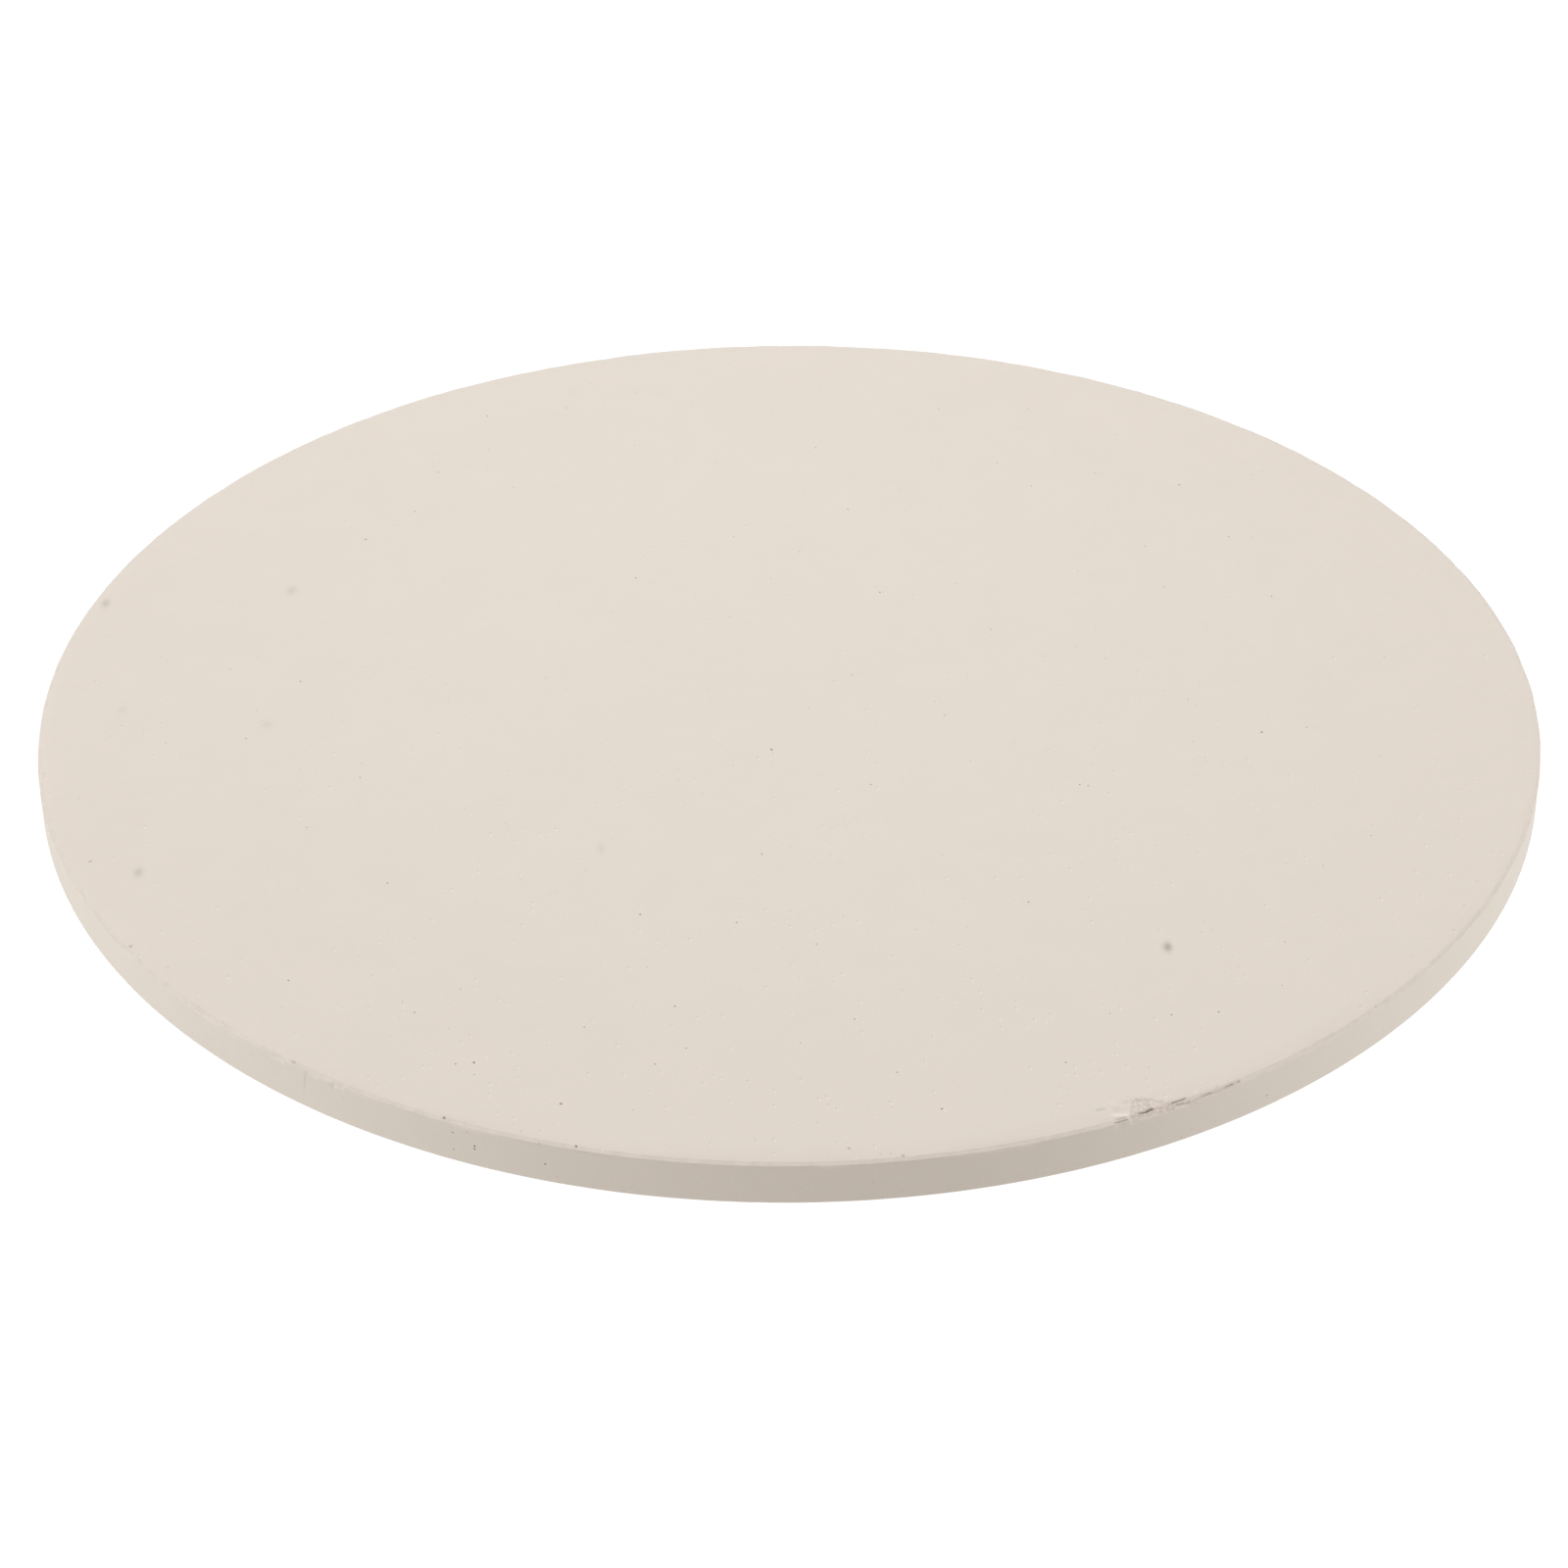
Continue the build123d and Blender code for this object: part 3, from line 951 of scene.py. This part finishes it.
def clay_material(finish, band_drop):
    """Unglazed fired clay: a pale body with soft mottling, fine grain, specks and iron spots, painted shade
    that darkens the rim and makes the wall darker and warmer, painted highlights and painted shade in the
    specks and the marks, and the wear of the surface."""
    material, nodes, place = new_material("fired_clay")
    near_rim, on_wall, on_arris = rim_masks(nodes, place, band_drop)
    fine = nodes.group(fine_grain(), Place=place, **CLAY_GRAIN)
    mottle = nodes.spread(nodes.noise(place, *MOTTLE), NOISE_SPAN, MOTTLE_SHADES)
    # Painted shade: the face darkens towards the rim, and the wall is painted darker and warmer than the
    # face.
    colour = nodes.blend(near_rim, finish.clay, finish.shaded_rim_clay)
    colour = nodes.blend(on_wall, colour, finish.shaded_wall_clay)
    colour = nodes.darken(colour, nodes.times(mottle, fine["Shade"]))
    colour = speckled(nodes, place, colour, on_wall, finish)
    colour = iron_stained(nodes, place, colour, finish)
    marks = [nodes.add("ShaderNodeAttribute", attribute_name=name).outputs["Fac"] for name in FINISH]
    colour, bare = worn(nodes, place, colour, marks, on_arris, finish)
    roughness = nodes.spread(
        fine["Height"], NOISE_SPAN, (finish.roughness - ROUGHNESS_SWING, finish.roughness + ROUGHNESS_SWING))
    height = clay_height(nodes, place, fine["Height"], bare, on_arris, finish)
    bump = nodes.add("ShaderNodeBump", {"Height": height, "Distance": finish.grain_height}).outputs[0]
    inputs = {"Base Color": colour, "Roughness": roughness, "Normal": bump}
    shader = nodes.add("ShaderNodeBsdfPrincipled", inputs)
    shader.inputs["Specular IOR Level"].default_value = 0.3
    nodes.add("ShaderNodeOutputMaterial", {"Surface": shader.outputs[0]})
    return material


def floor_material(colour, glow):
    """A matt white sheet with a faint paper grain, lit through from below."""
    material, nodes, place = new_material("floor_sheet")
    paper = nodes.group(fine_grain(), Place=place, **PAPER_GRAIN)["Shade"]
    shader = nodes.add("ShaderNodeBsdfPrincipled", {"Base Color": nodes.darken(colour, paper)})
    shader.inputs["Roughness"].default_value = 1.0
    shader.inputs["Specular IOR Level"].default_value = 0.0
    shader.inputs["Emission Color"].default_value = (1.0, 1.0, 1.0, 1.0)
    shader.inputs["Emission Strength"].default_value = glow
    nodes.add("ShaderNodeOutputMaterial", {"Surface": shader.outputs[0]})
    return material


def set_up_camera(scene, studio):
    """The camera stands on the -Y side, looks at the centre of the resting face, and turns by the
    small angles that put the stone where the photograph has it."""
    lens = bpy.data.cameras.new("photo_camera")
    lens.sensor_fit = "HORIZONTAL"
    lens.sensor_width = SENSOR_WIDTH
    lens.lens = studio.focal_length
    camera = bpy.data.objects.new("photo_camera", lens)
    away = Vector((0, -math.cos(studio.elevation), math.sin(studio.elevation)))
    camera.matrix_world = (
        Matrix.Translation(away * studio.distance)
        @ Matrix.Rotation(math.pi / 2 - studio.elevation, 4, "X")
        @ Matrix.Rotation(studio.pan, 4, "Y")
        @ Matrix.Rotation(studio.tilt, 4, "X")
        @ Matrix.Rotation(studio.roll, 4, "Z")
    )
    scene.collection.objects.link(camera)
    scene.camera = camera


def hang_soft_box(scene, name, bearing, elevation, distance, side, power):
    """A soft box that looks at the stone and that the camera doesn't see."""
    light = bpy.data.lights.new(name, "AREA")
    light.shape = "SQUARE"
    light.size = side
    light.energy = power
    lamp = bpy.data.objects.new(name, light)
    lamp.visible_camera = False
    bearing, elevation = math.radians(bearing), math.radians(elevation)
    level, rise = math.cos(elevation), math.sin(elevation)
    away = Vector((level * math.cos(bearing), level * math.sin(bearing), rise))
    turn = away.to_track_quat("Z", "Y").to_matrix().to_4x4()
    lamp.matrix_world = Matrix.Translation(away * distance) @ turn
    scene.collection.objects.link(lamp)


def light_room(scene, studio):
    """The room gives back a little warm light on the camera's side, which fades by a smooth step to
    none behind the stone. It looks white where the camera sees past the floor."""
    world = bpy.data.worlds.new("studio_room")
    world.use_nodes = True
    world.node_tree.nodes.clear()
    nodes = Nodes(world.node_tree)
    direction = nodes.add("ShaderNodeTexCoord").outputs["Generated"]
    far = nodes.add("ShaderNodeSeparateXYZ", {0: direction}).outputs["Y"]
    fill = nodes.darken(studio.room_light, nodes.spread(far, (-1.0, 1.0), (1.0, 0.0)))
    seen = nodes.add("ShaderNodeLightPath").outputs["Is Camera Ray"]
    light = nodes.add("ShaderNodeBackground", {"Color": nodes.blend(seen, fill, (1.0, 1.0, 1.0))})
    nodes.add("ShaderNodeOutputWorld", {"Surface": light.outputs[0]})
    scene.world = world


def lay_floor(scene, studio):
    """A flat sheet just under the resting face, far wider than the view."""
    half, gap = 12.0, 0.02 * MM
    corners = [(-half, -half, -gap), (half, -half, -gap), (half, half, -gap), (-half, half, -gap)]
    mesh = bpy.data.meshes.new("floor_sheet")
    mesh.from_pydata(corners, [], [(0, 1, 2, 3)])
    mesh.materials.append(floor_material(studio.floor, studio.floor_glow))
    floor = bpy.data.objects.new("floor_sheet", mesh)
    scene.collection.objects.link(floor)


class PIZZASTONE_OT_studio(bpy.types.Operator):
    """Set up the camera, the soft boxes, the room's light and the floor"""

    bl_idname = "pizzastone.studio"
    bl_label = "Set Up Studio"

    def execute(self, context):
        scene = context.scene
        studio = scene.pizza_stone_studio
        set_up_camera(scene, studio)
        light_room(scene, studio)
        for name, (bearing, elevation, distance, side, power) in SOFT_BOXES.items():
            hang_soft_box(scene, name, bearing, elevation, distance, side, power * studio.box_light)
        lay_floor(scene, studio)
        scene.view_settings.view_transform = "Standard"
        return {"FINISHED"}


class PIZZASTONE_OT_slab(bpy.types.Operator):
    """Model the fired slab with its pinholes, stains and worn rim"""

    bl_idname = "pizzastone.slab"
    bl_label = "Press and Fire Slab"

    def execute(self, context):
        scene = context.scene
        mesh = slab_mesh(scene.pizza_stone_shape, scene.pizza_stone_wear)
        mesh.materials.append(clay_material(scene.pizza_stone_finish, scene.pizza_stone_shape.band_drop))
        slab = bpy.data.objects.new("fired_slab", mesh)
        scene.collection.objects.link(slab)
        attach(slab, BODY)
        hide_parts(STONE_NODE)
        return {"FINISHED"}


class PIZZASTONE_PT_panel(bpy.types.Panel):
    """Lists the steps that make the pizza stone, and its settings"""

    bl_idname = "PIZZASTONE_PT_panel"
    bl_label = "Pizza Stone"
    bl_space_type = "VIEW_3D"
    bl_region_type = "UI"
    bl_category = "Pizza Stone"

    def draw(self, context):
        for operator in OPERATORS:
            self.layout.operator(operator.bl_idname)
        for pointer, group in SETTINGS.items():
            box = self.layout.box()
            for name in group.__annotations__:
                box.prop(getattr(context.scene, pointer), name)


SETTINGS = {
    "pizza_stone_shape": StoneShape,
    "pizza_stone_wear": StoneWear,
    "pizza_stone_finish": ClayFinish,
    "pizza_stone_studio": StudioSettings,
}
OPERATORS = (PIZZASTONE_OT_studio, PIZZASTONE_OT_slab)


def register():
    for group in (*SETTINGS.values(), *OPERATORS, PIZZASTONE_PT_panel):
        bpy.utils.register_class(group)
    for pointer, group in SETTINGS.items():
        setattr(bpy.types.Scene, pointer, PointerProperty(type=group))


def unregister():
    for pointer in SETTINGS:
        delattr(bpy.types.Scene, pointer)
    for group in reversed((*SETTINGS.values(), *OPERATORS, PIZZASTONE_PT_panel)):
        bpy.utils.unregister_class(group)


def main():
    register()
    bpy.ops.pizzastone.studio()
    bpy.ops.pizzastone.slab()


if __name__ == "__main__":
    main()
